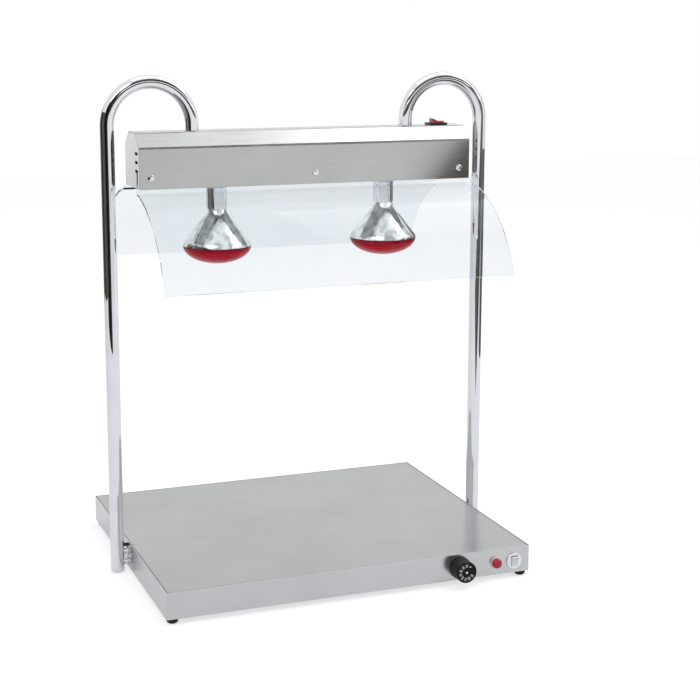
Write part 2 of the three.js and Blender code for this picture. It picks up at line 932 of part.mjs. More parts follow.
function lampCarrier() {
  const length = housingLength - 2 * (capThickness + gap);
  const line = [
    [carrierFace, carrierBottom + carrierFlange],
    [carrierFace, carrierBottom],
    [-carrierFace, carrierBottom],
    [-carrierFace, carrierBottom + carrierFlange],
  ];
  const channel = drawnAlongX(sheetOutline(line, carrierWall), length);
  const floor = [carrierBottom, carrierBottom + carrierWall];
  const lampHole = (x) => holeZ(collarRadius, floor, [x, 0], roundSides);
  const screwHoles = screwXs.flatMap((x) => [
    holeY(screwRadius, [carrierFace, carrierFace + carrierWall], [x, screwHeight]),
    holeY(screwRadius, [-carrierFace - carrierWall, -carrierFace], [-x, screwHeight]),
  ]);
  return cut(channel, lampHole(-lampX), lampHole(lampX), ...screwHoles);
}

add("lamp_carrier", lampCarrier(), zincSteel());

// Guard screws: round heads on the housing's outside, with shanks into the carrier's flanges
const screwHeadRadius = 6.2;
const screwHeadRise = 3.4;
const screwEnd = 4;

function guardScrew() {
  const shank = carrierFace + carrierWall + screwEnd + housingDepth / 2;
  return turned(
    [
      [0, -shank],
      [screwRadius, -shank],
      [screwRadius, gap],
      [screwHeadRadius, gap],
      [screwHeadRadius * Math.cos(quarter / 2), screwHeadRise * Math.sin(quarter / 2) + gap],
      [0, screwHeadRise + gap],
    ],
    smallSides,
  );
}

["left", "middle", "right"].forEach((place, i) => {
  const x = screwXs[i];
  add(`guard_screw_front_${place}`, guardScrew(), chrome(), [x, -housingDepth / 2, screwHeight], toFront);
  add(`guard_screw_rear_${place}`, guardScrew(), chrome(), [-x, housingDepth / 2, screwHeight]);
});

// Lamp collars: bright rings that hang through the carrier round each lamp's neck
const collarWall = 0.9;
const collarDrop = 44;
const collarFlangeRadius = 23;
const collarFlange = 1.5;
const collarTop = carrierBottom + carrierWall + gap + collarFlange;

function lampCollar() {
  const bore = collarRadius - collarWall;
  const low = housingBottom - collarDrop;
  const flangeLow = collarTop - collarFlange;
  return turned(
    [
      [bore, low],
      [collarRadius, low],
      [collarRadius, flangeLow],
      [collarFlangeRadius, flangeLow],
      [collarFlangeRadius, collarTop],
      [bore, collarTop],
      [bore, low],
    ],
    roundSides,
  );
}

// Lampholders: ceramic bodies on the collars, with a bore for the lamp's cap
const holderRadius = 22;
const holderHeight = 51;
const capRadius = 13.3;
const capHeight = 27;
const capTaper = 4;
const contactRadius = 4;
const contactRise = 2.5;
const holderBottom = collarTop + gap;
const holderTop = holderBottom + holderHeight;

function lampholder() {
  const bore = capRadius + play;
  const boreTop = holderBottom + capHeight + play;
  return turned(
    [
      [0, boreTop],
      [bore, boreTop],
      [bore, holderBottom],
      [holderRadius, holderBottom],
      [holderRadius, holderTop - play],
      [holderRadius - play, holderTop],
      [0, holderTop],
    ],
    roundSides,
  );
}

// Brackets: folded straps that hang each lampholder from the roof
const strapThickness = 2;
const strapDepth = 30;
const strapHalf = 18;
const strapLip = 6;

function holderBracket() {
  const roof = roofTop - roofWall - gap;
  const seat = holderTop + gap + strapThickness;
  return drawnAlongY(
    sheetOutline(
      [
        [strapHalf + strapLip, roof],
        [strapHalf, roof],
        [strapHalf, seat],
        [-strapHalf, seat],
        [-strapHalf, roof],
        [-strapHalf - strapLip, roof],
      ],
      strapThickness,
    ),
    strapDepth,
  );
}

// Lamps: blown bulb with a clear reflector part, a red face and a screw cap
const glassWall = 1.2;
const neckRadius = 17.3;
const lensDepth = 33;
const shoulderHeight = 62;
const rimRound = 4;
const shoulderRound = 9;
const flankShares = { from: 0.09, to: 0.88 };
const neckTop = holderBottom - gap;
const capTop = holderBottom + capHeight;
const rimHeight = capTop - lampLength + lensDepth;

function lampGlass() {
  const rim = new THREE.Vector2(lampRadius, rimHeight + rimRound);
  const shoulder = new THREE.Vector2(neckRadius, rimHeight + shoulderHeight);
  const flankFoot = rim.clone().lerp(shoulder, flankShares.from);
  const flankTop = rim.clone().lerp(shoulder, flankShares.to);
  const path = new THREE.Path();
  path.moveTo(lampRadius, rimHeight + gap);
  path.quadraticCurveTo(rim.x, rim.y, flankFoot.x, flankFoot.y);
  path.lineTo(flankTop.x, flankTop.y);
  path.quadraticCurveTo(shoulder.x, shoulder.y, shoulder.x, shoulder.y + shoulderRound);
  path.lineTo(neckRadius, neckTop);
  const curveSteps = 3;
  const line = path.getPoints(curveSteps).map((point) => point.toArray());
  const outline = sheetOutline(line, glassWall).map((point) => point.toArray());
  return turned([...outline, outline[0]], roundSides);
}

function lampFace() {
  const steps = 6;
  const bowl = (radius, depth) =>
    Array.from({ length: steps + 1 }, (_, i) => {
      const angle = (quarter * i) / steps;
      return [i === 0 ? 0 : radius * Math.sin(angle), rimHeight - depth * Math.cos(angle)];
    });
  const outer = bowl(lampRadius, lensDepth);
  const inner = bowl(lampRadius - glassWall, lensDepth - glassWall);
  return turned([...outer, ...inner.reverse()], roundSides);
}

function lampCap() {
  return turned(
    [
      [0, holderBottom],
      [capRadius, holderBottom],
      [capRadius, capTop - capTaper - contactRise],
      [contactRadius, capTop - contactRise],
      [contactRadius, capTop],
      [0, capTop],
    ],
    roundSides,
  );
}

for (const [side, x] of [["left", -lampX], ["right", lampX]]) {
  add(`lamp_collar_${side}`, lampCollar(), chrome(), [x, 0, 0], upright);
  add(`lampholder_${side}`, lampholder(), ceramic(), [x, 0, 0], upright);
  add(`holder_bracket_${side}`, holderBracket(), zincSteel(), [x, 0, 0]);
  add(`lamp_glass_${side}`, lampGlass(), clearSheet(), [x, 0, 0], upright);
  add(`lamp_red_face_${side}`, lampFace(), finish("#b3122e", 0.12, 0), [x, 0, 0], upright);
  add(`lamp_cap_${side}`, lampCap(), finish("#c9b072", 0.3, 1), [x, 0, 0], upright);
}

// Lock nuts: hexagons under the roof that hold each post's inner leg
const nutRadius = 17;
const nutHeight = 9;
const nutSides = 6;

function lockNut(x) {
  const top = roofTop - roofWall - gap;
  const hexagon = rodZ(nutRadius, top - nutHeight, top, [x, 0], nutSides);
  const bore = holeZ(postRadius, [top - nutHeight, top], [x, 0], roundSides);
  return cut(hexagon, bore);
}

add("lock_nut_left", lockNut(-innerLegX), zincSteel());
add("lock_nut_right", lockNut(innerLegX), zincSteel());

// Lamp switch: black bezel on the roof with its body through it, and a clear red rocker
const switchBezelX = 36;
const switchBezelY = 26;
const switchBezel = 4;
const switchDepth = 23;
const lampKeyHalf = 12;
const lampKeyWidth = 17;
const lampKeyRise = 8;
const lampKeyDip = 5;
const lampKeyDepth = 4;
const lampHingeDrop = 2;
const lampCavityDepth = 8.5;
const lampHinge = roofTop + switchBezel - lampHingeDrop;

function lampSwitchBody() {
  const bezel = block(
    [-switchBezelX / 2, -switchBezelY / 2, roofTop + gap],
    [switchBezelX / 2, switchBezelY / 2, roofTop + switchBezel],
  );
  const body = block(
    [-switchBodyX / 2, -switchBodyY / 2, roofTop + switchBezel - switchDepth],
    [switchBodyX / 2, switchBodyY / 2, roofTop + switchBezel],
  );
  const x = lampKeyHalf + play;
  const y = lampKeyWidth / 2 + play;
  const cavity = block([-x, -y, lampHinge - lampCavityDepth], [x, y, roofTop + switchBezel + overrun]);
  return cut(join(bezel, body), cavity);
}

function lampRocker() {
  const outline = rockerOutline(lampKeyHalf, lampKeyRise, lampKeyDip, lampKeyDepth, -rockerTilt);
  return drawnAlongY(outline, lampKeyWidth);
}

add("lamp_switch_body", lampSwitchBody(), blackPlastic(), [switchX, 0, 0]);
add("lamp_rocker", lampRocker(), redPlastic(), [switchX, 0, lampHinge]);

// Housing wiring: cable from the left post's tail, along behind the lampholders, up to the lamp switch
const wireRadius = 2.5;
const wireDrop = 16;
const wireY = 34;
const wireSag = 8;

function housingWiring() {
  const high = tailBottom - gap;
  const low = high - wireDrop - wireSag;
  const switchBottom = roofTop + switchBezel - switchDepth - gap;
  const turn = wireY - wireSag;
  const route = new THREE.CatmullRomCurve3([
    new THREE.Vector3(-innerLegX, 0, high),
    new THREE.Vector3(-innerLegX, wireRadius, high - wireDrop),
    new THREE.Vector3(-innerLegX + wireDrop, turn, low),
    new THREE.Vector3(-innerLegX + 2 * wireY, wireY, low),
    new THREE.Vector3(0, wireY, low),
    new THREE.Vector3(switchX - 2 * wireY, wireY, low),
    new THREE.Vector3(switchX - wireDrop, turn, low),
    new THREE.Vector3(switchX, wireRadius, switchBottom - wireDrop),
    new THREE.Vector3(switchX, 0, switchBottom),
  ]);
  const steps = 20;
  return tubeThrough(route.getPoints(steps), wireRadius, wireSides);
}

add("housing_wiring", housingWiring(), finish("#20242a", 0.6, 0));

export default warmer;
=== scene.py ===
import math

import bmesh
import bpy
from mathutils import Euler, Matrix, Vector


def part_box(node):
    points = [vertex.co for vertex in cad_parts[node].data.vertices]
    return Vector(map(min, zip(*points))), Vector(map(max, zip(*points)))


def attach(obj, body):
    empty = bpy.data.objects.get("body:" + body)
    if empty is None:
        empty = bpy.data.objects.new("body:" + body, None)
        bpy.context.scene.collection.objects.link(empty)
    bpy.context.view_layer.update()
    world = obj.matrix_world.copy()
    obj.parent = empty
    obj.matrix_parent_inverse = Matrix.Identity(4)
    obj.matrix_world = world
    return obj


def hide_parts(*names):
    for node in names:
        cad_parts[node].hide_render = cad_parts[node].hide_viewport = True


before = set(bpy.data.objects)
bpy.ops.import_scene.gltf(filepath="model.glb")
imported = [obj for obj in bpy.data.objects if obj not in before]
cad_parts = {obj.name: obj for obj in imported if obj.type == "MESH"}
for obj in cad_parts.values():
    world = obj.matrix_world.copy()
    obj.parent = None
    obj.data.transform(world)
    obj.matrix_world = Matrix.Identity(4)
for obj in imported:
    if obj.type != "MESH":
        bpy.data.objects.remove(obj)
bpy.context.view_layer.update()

# Camera
# Stands in front of the warmer and a little to its left, and looks down on the heated top. Its
# place and lens come from a fit to the warmer's corners in the photograph.
camera_data = bpy.data.cameras.new("camera")
camera = bpy.data.objects.new("camera", camera_data)
bpy.context.collection.objects.link(camera)
bpy.context.scene.camera = camera
camera_place = Vector((-0.9432, -2.6825, 1.0143))
camera_heading = math.radians(21.2)
camera_tilt = math.radians(10.5)
camera_roll = math.radians(0.2)
level_view = math.radians(90)
turn = Euler((level_view - camera_tilt, 0, -camera_heading)).to_matrix().to_4x4()
camera.matrix_world = Matrix.Translation(camera_place) @ turn @ Matrix.Rotation(camera_roll, 4, "Z")
camera_data.sensor_width = 36
camera_data.lens = 79.31
camera_data.shift_y = -0.0714
camera_data.clip_end = 50

bpy.context.scene.view_settings.view_transform = "Standard"


# Studio
# White all round for what the camera, the metal and the glass see, and a softer white as light.
# The floor is a pale sheet that keeps the warmer's shadow.
def linear(code):
    """An sRGB hex colour as the linear red, green, blue and alpha that a node takes."""
    values = [int(code[i : i + 2], 16) / 255 for i in (1, 3, 5)]
    return (*[v / 12.92 if v <= 0.04045 else ((v + 0.055) / 1.055) ** 2.4 for v in values], 1)


def add_node(tree, kind, settings=None, inputs=None):
    """A node with its settings, and with inputs that are values or other nodes' sockets."""
    node = tree.nodes.new(kind)
    for name, value in (settings or {}).items():
        setattr(node, name, value)
    for name, value in (inputs or {}).items():
        if isinstance(value, bpy.types.NodeSocket):
            tree.links.new(value, node.inputs[name])
        else:
            node.inputs[name].default_value = value
    return node


def level_by_ray(tree, levels):
    """The highest of the levels given for the kinds of ray that meet a surface."""
    rays = add_node(tree, "ShaderNodeLightPath")
    level = 0.0
    for kind, share in levels.items():
        shares = {0: rays.outputs[kind], 1: share}
        own = add_node(tree, "ShaderNodeMath", {"operation": "MULTIPLY"}, shares)
        levels_so_far = {0: level, 1: own.outputs[0]}
        level = add_node(tree, "ShaderNodeMath", {"operation": "MAXIMUM"}, levels_so_far).outputs[0]
    return level


world = bpy.data.worlds.new("studio")
bpy.context.scene.world = world
world.use_nodes = True
world.node_tree.nodes.clear()
room_levels = {
    "Is Diffuse Ray": 0.72,
    "Is Camera Ray": 1.0,
    "Is Glossy Ray": 1.0,
    "Is Transmission Ray": 1.0,
}
white_room = {"Color": linear("#ffffff"), "Strength": level_by_ray(world.node_tree, room_levels)}
room = add_node(world.node_tree, "ShaderNodeBackground", inputs=white_room)
add_node(world.node_tree, "ShaderNodeOutputWorld", inputs={"Surface": room.outputs[0]})


def soft_light(name, place, aim, size, power):
    """A square soft box that looks at a point."""
    data = bpy.data.lights.new(name, "AREA")
    data.shape = "SQUARE"
    data.size = size
    data.energy = power
    light = bpy.data.objects.new(name, data)
    bpy.context.collection.objects.link(light)
    look = (Vector(aim) - Vector(place)).to_track_quat("-Z", "Y")
    light.matrix_world = Matrix.Translation(place) @ look.to_matrix().to_4x4()


warmer_middle = (0, 0, 0.4)
housing_end = (0.4, 0, 0.8)
soft_light("key", (-1.6, -2.0, 2.6), warmer_middle, size=1.6, power=22)
soft_light("fill", (2.2, -1.4, 2.0), warmer_middle, size=1.6, power=9)
soft_light("overhead", (1.7, 0.1, 3.0), housing_end, size=1.8, power=24)


def plain_material(name):
    """A new material, its node tree and its Principled shader."""
    material = bpy.data.materials.new(name)
    material.use_nodes = True
    tree = material.node_tree
    tree.nodes.clear()
    shader = add_node(tree, "ShaderNodeBsdfPrincipled")
    add_node(tree, "ShaderNodeOutputMaterial", inputs={"Surface": shader.outputs[0]})
    return material, tree, shader


def stage_sheet(name, width, height, place, turned_by, material):
    """A flat sheet of the studio, which isn't part of the warmer."""
    shape = bmesh.new()
    corners = bmesh.ops.create_grid(shape, x_segments=1, y_segments=1, size=0.5)["verts"]
    bmesh.ops.scale(shape, verts=corners, vec=(width, height, 1))
    bmesh.ops.rotate(shape, verts=corners, matrix=Euler(turned_by).to_matrix())
    bmesh.ops.translate(shape, verts=corners, vec=place)
    mesh = bpy.data.meshes.new(name)
    shape.to_mesh(mesh)
    shape.free()
    mesh.materials.append(material)
    sheet = bpy.data.objects.new(name, mesh)
    bpy.context.collection.objects.link(sheet)
    return sheet


# The floor's paper is matt; what the camera sees of it is lifted to white where no shadow falls.
mm = 0.001
floor_paper, tree, shader = plain_material("floor_paper")
shader.inputs["Base Color"].default_value = linear("#bcbcc0")
shader.inputs["Roughness"].default_value = 0.9
shader.inputs["Specular IOR Level"].default_value = 0.0
floor_lifts = {"Is Camera Ray": 0.62, "Is Glossy Ray": 0.42, "Is Transmission Ray": 0.62}
tree.links.new(level_by_ray(tree, floor_lifts), shader.inputs["Emission Strength"])
shader.inputs["Emission Color"].default_value = linear("#ffffff")
floor_side = 14
floor_drop = 0.5 * mm
stage_sheet("floor", floor_side, floor_side, (0, 0, -floor_drop), (0, 0, 0), floor_paper)


def pattern_on(tree, size, stretch=(1, 1, 1), detail=3.0, roughness=0.5):
    """Noise on the piece's own coordinates, with waves about as long as a size in metres."""
    own_place = add_node(tree, "ShaderNodeTexCoord").outputs["Object"]
    place = add_node(tree, "ShaderNodeMapping", inputs={"Vector": own_place, "Scale": stretch})
    waves = {"Vector": place.outputs[0], "Scale": 1 / size, "Detail": detail, "Roughness": roughness}
    return add_node(tree, "ShaderNodeTexNoise", inputs=waves).outputs[0]


def colour_by(tree, shader, pattern, dark, light, low=0.0, high=1.0):
    """Colours a surface from dark to light as a pattern rises from low to high; returns the colour."""
    span = {"Value": pattern, "From Min": low, "From Max": high}
    share = add_node(tree, "ShaderNodeMapRange", inputs=span).outputs["Result"]
    tones = {0: share, 6: linear(dark), 7: linear(light)}
    colour = add_node(tree, "ShaderNodeMix", {"data_type": "RGBA"}, tones).outputs[2]
    tree.links.new(colour, shader.inputs["Base Color"])
    return colour


# Upright cards stand close round the lamps and the posts' upper halves. Only metal near them shows
# them, as streaks: farther off they turn as white as the room, so that the warming top stays pale.
streak_width = 220 * mm
streak_stretch = (1, 1, 0.1)
streak_contrast = (0.38, 0.62)
fade_from = 0.7


def card_paper(name, dark, light, glow=0.0, reach=0.8):
    """Matt card with soft upright streaks; a glow of 1 is as bright as the white room.

    Metal farther off than the reach sees the card white.
    """
    material, tree, shader = plain_material(name)
    streaks = pattern_on(tree, streak_width, streak_stretch, detail=1.0)
    colour_by(tree, shader, streaks, dark, light, *streak_contrast)
    shader.inputs["Roughness"].default_value = 1.0
    shader.inputs["Specular IOR Level"].default_value = 0.0
    shader.inputs["Emission Color"].default_value = linear("#ffffff")
    fade = {
        "Value": add_node(tree, "ShaderNodeLightPath").outputs["Ray Length"],
        "From Min": fade_from * reach,
        "From Max": reach,
        "To Min": glow,
        "To Max": max(glow, 1.0),
    }
    lit = add_node(tree, "ShaderNodeMapRange", inputs=fade).outputs["Result"]
    tree.links.new(lit, shader.inputs["Emission Strength"])
    return material


def show_in_metal(sheet):
    """Hides a sheet from all but mirror rays."""
    sheet.visible_camera = False
    sheet.visible_diffuse = False
    sheet.visible_shadow = False
    sheet.visible_transmission = False
    sheet.visible_volume_scatter = False


def card(name, paper, left, right, low, high, y, lean=0):
    """An upright card in front of or behind the warmer, leaning to its right by some degrees."""
    middle = ((left + right) / 2, y, (low + high) / 2)
    turned_by = (math.radians(90), math.radians(lean), 0)
    show_in_metal(stage_sheet(name, right - left, high - low, middle, turned_by, paper))


def side_card(name, middle, width, height):
    """A black card that stands beside the warmer, with its face to a post."""
    turned_by = (math.radians(90), 0, math.radians(90))
    show_in_metal(stage_sheet(name, width, height, middle, turned_by, black_card))


black_card = card_paper("black_card", "#1d1917", "#857c74")
near_card = card_paper("near_card", "#1d1917", "#857c74", reach=0.6)
grey_card = card_paper("grey_card", "#5f5b57", "#7d7873")
white_card = card_paper("white_card", "#0c0c0c", "#141414", glow=1.0)
bright_card = card_paper("bright_card", "#0c0c0c", "#141414", glow=1.4)
front = -0.3
back = 0.3
card("card_front_left", black_card, -1.2, -0.37, 0.35, 1.1, front)
card("card_front_white", white_card, -0.28, 0.33, 0.6, 0.84, front)
card("card_front_right", near_card, 0.35, 0.7, 0.22, 1.02, front, lean=40)
card("card_front_low", black_card, 0.22, 0.5, 0.42, 0.62, front)
card("card_low_stripe", grey_card, -0.37, 0.9, 0.84, 0.93, front)
card("card_high_stripe", black_card, -0.37, 0.9, 0.99, 1.25, front)
card("card_back_left", black_card, -1.1, -0.5, 0.44, 0.95, back)
card("card_back_right", black_card, 0.5, 1.1, 0.44, 0.95, back)
side_card("card_left", (-0.7, 0.07, 0.7), width=0.75, height=0.5)
side_card("card_right", (0.72, 0, 0.5), width=0.5, height=0.46)
overhead_height = 3.1
show_in_metal(stage_sheet("card_overhead", 1.5, 2.0, (0, 0, overhead_height), (0, 0, 0), bright_card))


# Base and warming top
# The base is one folded skirt of 1.5 mm stainless with a rim, and the top is a flat plate let into it.
# Both are brushed along the warmer's length and reflect the room as soft grey. They are the same
# stainless, but the skirt is given a lighter tone and the plate a darker one: painted light and painted
# shade.
merge_gap = 0.001 * mm
flat_turn = math.radians(1)


def cad_copy(node):
    """A copy of a CAD node's mesh, with its triangles merged into plain faces."""
    shape = bmesh.new()
    shape.from_mesh(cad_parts[node].data)
    bmesh.ops.remove_doubles(shape, verts=shape.verts, dist=merge_gap)
    bmesh.ops.dissolve_limit(shape, angle_limit=flat_turn, verts=shape.verts, edges=shape.edges)
    return shape


def round_edges(shape, width, steps=2, sharper_than=30):
    """Rounds each edge that turns by more than an angle."""
    limit = math.radians(sharper_than)
    sharp = [e for e in shape.edges if e.is_manifold and e.calc_face_angle() > limit]
    bmesh.ops.bevel(
        shape,
        geom=sharp,
        offset=width,
        affect="EDGES",
        segments=steps,
        profile=0.5,
        material=-1,
        clamp_overlap=True,
    )


def piece_from(shape, name, material, smooth_below=35):
    """An object made of a bmesh, in place, with its sharp edges kept sharp."""
    mesh = bpy.data.meshes.new(name)
    shape.to_mesh(mesh)
    shape.free()
    mesh.shade_smooth()
    mesh.set_sharp_from_angle(angle=math.radians(smooth_below))
    mesh.materials.append(material)
    piece = bpy.data.objects.new(name, mesh)
    bpy.context.collection.objects.link(piece)
    level = piece.modifiers.new("level_faces", "WEIGHTED_NORMAL")
    level.weight = 100
    level.keep_sharp = True
    return piece


# Noise seldom leaves the middle of its range, so a pattern's contrast is taken from there.
noise_low = 0.3
noise_high = 0.7


def surface_by(tree, shader, pattern, smooth, rough, depth=0.0):
    """Roughens a surface where a pattern rises, and lifts it there by up to a depth in metres."""
    span = {
        "Value": pattern,
        "From Min": noise_low,
        "From Max": noise_high,
        "To Min": smooth,
        "To Max": rough,
    }
    roughness = add_node(tree, "ShaderNodeMapRange", inputs=span).outputs["Result"]
    tree.links.new(roughness, shader.inputs["Roughness"])
    if depth:
        relief = add_node(tree, "ShaderNodeBump", inputs={"Height": pattern, "Distance": depth})
        tree.links.new(relief.outputs["Normal"], shader.inputs["Normal"])


# Brushed stainless: drawn through a belt grinder, so it has fine straight lines and soft gloss.
# The real lines are about 0.1 mm apart; they are drawn 1.4 mm apart, or they wouldn't show.
line_spacing = 1.4 * mm
line_length = 90 * mm
line_depth = 0.04 * mm
cloud_size = 130 * mm
cloud_share = 0.55


def brushed_stainless(name, along, light, dark):
    """Brushed steel whose lines run along an axis, given as 0, 1 or 2."""
    material, tree, shader = plain_material(name)
    shader.inputs["Metallic"].default_value = 1.0
    stretch = [1, 1, 1]
    stretch[along] = line_spacing / line_length
    lines = pattern_on(tree, line_spacing, stretch, detail=2.0, roughness=0.6)
    clouds = pattern_on(tree, cloud_size, detail=2.0)
    both = add_node(tree, "ShaderNodeMix", inputs={0: cloud_share, 2: lines, 3: clouds}).outputs[0]
    colour_by(tree, shader, both, dark, light, noise_low, noise_high)
    surface_by(tree, shader, lines, smooth=0.18, rough=0.27, depth=line_depth)
    return material


# Painted light and shade: the skirt's tone is lighter and the plate's darker than the one stainless they
# share.
steel_skirt_painted_lighter = brushed_stainless("brushed_stainless_skirt_painted_lighter", 0, "#c9caca", "#bdbebf")
steel_plate_painted_darker = brushed_stainless("brushed_stainless_plate_painted_darker", 0, "#b3b4b5", "#a5a7a8")
sheet_edge = 0.5 * mm
for node, name, steel in (
    ("base_body", "base_skirt", steel_skirt_painted_lighter),
    ("top_plate", "warming_plate", steel_plate_painted_darker),
):
    shape = cad_copy(node)
    round_edges(shape, sheet_edge)
    sheet = piece_from(shape, name, steel)
    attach(sheet, "warmer")
    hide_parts(node)


# Feet
# Four moulded rubber buttons, pressed into the base's flange by a stem. Black rubber with a fine
# grain, which leaves it matt.
def turned(outline, centre, turned_by=(0, 0, 0), steps=48):
    """Spins an outline of (radius, height) points about an upright axis, then turns and places it."""
    shape = bmesh.new()
    points = [shape.verts.new((radius, 0, height)) for radius, height in outline]
    for first, second in zip(points, points[1:]):
        shape.edges.new((first, second))
    bmesh.ops.spin(
        shape,
        geom=shape.verts[:] + shape.edges[:],
        cent=(0, 0, 0),
        axis=(0, 0, 1),
        angle=math.tau,
        steps=steps,
        use_merge=True,
    )
    bmesh.ops.remove_doubles(shape, verts=shape.verts, dist=merge_gap)
    bmesh.ops.recalc_face_normals(shape, faces=shape.faces)
    bmesh.ops.rotate(shape, verts=shape.verts, matrix=Euler(turned_by).to_matrix())
    bmesh.ops.translate(shape, verts=shape.verts, vec=centre)
    return shape


def arc(centre, radius, start, end, steps, squash=1.0):
    """Points of an arc in an outline; angles in degrees from straight out towards up."""
    points = []
    for i in range(steps + 1):
        angle = math.radians(start + (end - start) * i / steps)
        rise = radius * squash * math.sin(angle)
        points.append((max(centre[0] + radius * math.cos(angle), 0), centre[1] + rise))
    return points


def grained(name, dark, light, size, smooth, rough, depth, detail=2.0):
    """A finish whose colour, roughness and relief follow one even grain."""
    material, tree, shader = plain_material(name)
    grain = pattern_on(tree, size, detail=detail)
    colour_by(tree, shader, grain, dark, light)
    surface_by(tree, shader, grain, smooth, rough, depth)
    return material, shader


rubber_grain = 1.5 * mm
rubber_relief = 0.08 * mm
rubber, shader = grained(
    "moulded_rubber", "#0d0d0e", "#1d1d1f", rubber_grain, smooth=0.55, rough=0.75, depth=rubber_relief
)
shader.inputs["Specular IOR Level"].default_value = 0.35
foot_radius = 10 * mm
foot_round = 5 * mm
foot_round_start = -80
foot_top = 9.7 * mm
foot_stem = 3.5 * mm
for corner in ("front_left", "front_right", "rear_left", "rear_right"):
    low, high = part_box(f"foot_{corner}")
    rim = foot_radius - foot_round
    outline = [(0, 0), (rim, 0)]
    outline += arc((rim, foot_round), foot_round, foot_round_start, 0, 6)
    outline += [(foot_radius, foot_top), (foot_stem, foot_top), (foot_stem, high.z), (0, high.z)]
    centre = ((low.x + high.x) / 2, (low.y + high.y) / 2, 0)
    button = piece_from(turned(outline, centre, steps=32), f"rubber_foot_{corner}", rubber)
    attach(button, "warmer")
    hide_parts(f"foot_{corner}")


# Posts
# Two canes of 25 mm chromed steel tube: up from the base's side, over in a half circle, and down
# into the lamp housing. Bright chrome over polished steel mirrors the room, with a faint haze from
# wiping and slight waves along the tube.
haze_size = 40 * mm
tube_wave = 9 * mm
tube_wave_stretch = (1, 1, 0.12)
tube_wave_depth = 0.012 * mm
chrome_plate, tree, shader = plain_material("chrome_plate")
shader.inputs["Metallic"].default_value = 1.0
haze = pattern_on(tree, haze_size)
colour_by(tree, shader, haze, "#d6d8dc", "#e4e6ea")
surface_by(tree, shader, haze, smooth=0.02, rough=0.06)
waves = pattern_on(tree, tube_wave, tube_wave_stretch, detail=1.0)
relief = add_node(tree, "ShaderNodeBump", inputs={"Height": waves, "Distance": tube_wave_depth})
tree.links.new(relief.outputs["Normal"], shader.inputs["Normal"])

tube_wall = 1.5 * mm
tube_sides = 48
bend_steps = 48
tail_drop = 27.5 * mm


def new_verts(grown):
    """The corners in an operator's result."""
    return [item for item in grown if isinstance(item, bmesh.types.BMVert)]


def new_edges(grown):
    """The edges of an operator's result that lie between its new corners."""
    corners = set(new_verts(grown))
    edges = [item for item in grown if isinstance(item, bmesh.types.BMEdge)]
    return [edge for edge in edges if all(corner in corners for corner in edge.verts)]


def thicken(shape, wall):
    """Turns an open skin into a closed wall that grows inwards from its faces."""
    bmesh.ops.solidify(shape, geom=shape.faces[:], thickness=wall)


def bent_tube(side, low, high):
    """A cane; side is -1 for the left one and 1 for the right one."""
    radius = (high.y - low.y) / 2
    hook_radius = (high.x - low.x) / 2 - radius
    hook_x = (low.x + high.x) / 2
    hook_z = high.z - radius - hook_radius
    leg_x = hook_x + side * hook_radius
    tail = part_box("lamp_housing")[1].z - tail_drop
    shape = bmesh.new()
    ring = bmesh.ops.create_circle(shape, segments=tube_sides, radius=radius)["verts"]
    bmesh.ops.translate(shape, verts=ring, vec=(leg_x, 0, low.z))
    grown = bmesh.ops.extrude_edge_only(shape, edges=shape.edges[:])["geom"]
    bmesh.ops.translate(shape, verts=new_verts(grown), vec=(0, 0, hook_z - low.z))
    grown = bmesh.ops.spin(
        shape,
        geom=new_verts(grown) + new_edges(grown),
        cent=(hook_x, 0, hook_z),
        axis=(0, -side, 0),
        angle=math.pi,
        steps=bend_steps,
    )["geom_last"]
    grown = bmesh.ops.extrude_edge_only(shape, edges=new_edges(grown))["geom"]
    bmesh.ops.translate(shape, verts=new_verts(grown), vec=(0, 0, tail - hook_z))
    bmesh.ops.remove_doubles(shape, verts=shape.verts, dist=merge_gap)
    bmesh.ops.recalc_face_normals(shape, faces=shape.faces)
    thicken(shape, tube_wall)
    return shape


for name, side in (("left", -1), ("right", 1)):
    low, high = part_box(f"post_{name}")
    cane = piece_from(bent_tube(side, low, high), f"chrome_cane_{name}", chrome_plate)
    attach(cane, "warmer")
    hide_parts(f"post_{name}")


# Standoffs, plugs and sleeve
# Two chromed collars hold each post off the base, a chromed plug closes its lower end, and a rubber
# sleeve over the left pair takes the lamps' supply from the base into the post.
seat_gap = 0.3 * mm
stand_flange = 8.5 * mm
stand_flange_height = 2.2 * mm
stand_slope = 0.4 * mm
stand_neck = 5.2 * mm
stand_reach = 6.2 * mm
stand_shank = 3.5 * mm
stand_stud = 3 * mm
stand_round = 0.7 * mm
stand_bead_half = 60
for name, side in (("left", -1), ("right", 1)):
    for level in ("upper", "lower"):
        low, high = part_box(f"standoff_{name}_{level}")
        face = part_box("base_body")[1].x
        outer = (high.x if side > 0 else -low.x) - face
        inner = (low.x if side > 0 else -high.x) - face
        outline = [(0, inner), (stand_shank, inner), (stand_shank, seat_gap), (stand_flange, seat_gap)]
        flange_edge = (stand_flange - stand_round, stand_flange_height - stand_round)
        outline += arc(flange_edge, stand_round, 0, 90, 4)
        waist = stand_flange_height + (stand_reach - stand_flange_height) / 2
        outline += [(stand_neck, stand_flange_height + stand_slope), (stand_neck, waist)]
        bead_centre = (stand_neck, waist + stand_round)
        outline += arc(bead_centre, stand_round, -stand_bead_half, stand_bead_half, 5)
        outline += [(stand_neck, stand_reach), (stand_stud, stand_reach)]
        outline += [(stand_stud, outer), (0, outer)]
        centre = (side * face, 0, (low.z + high.z) / 2)
        shape = turned(outline, centre, (0, side * math.radians(90), 0), steps=32)
        collar = piece_from(shape, f"chrome_standoff_{name}_{level}", chrome_plate)
        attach(collar, "warmer")
        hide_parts(f"standoff_{name}_{level}")

plug_round = 0.9 * mm
for name in ("left", "right"):
    shape = cad_copy(f"post_plug_{name}")
    round_edges(shape, plug_round, steps=3)
    plug = piece_from(shape, f"end_plug_{name}", chrome_plate)
    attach(plug, "warmer")
    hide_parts(f"post_plug_{name}")

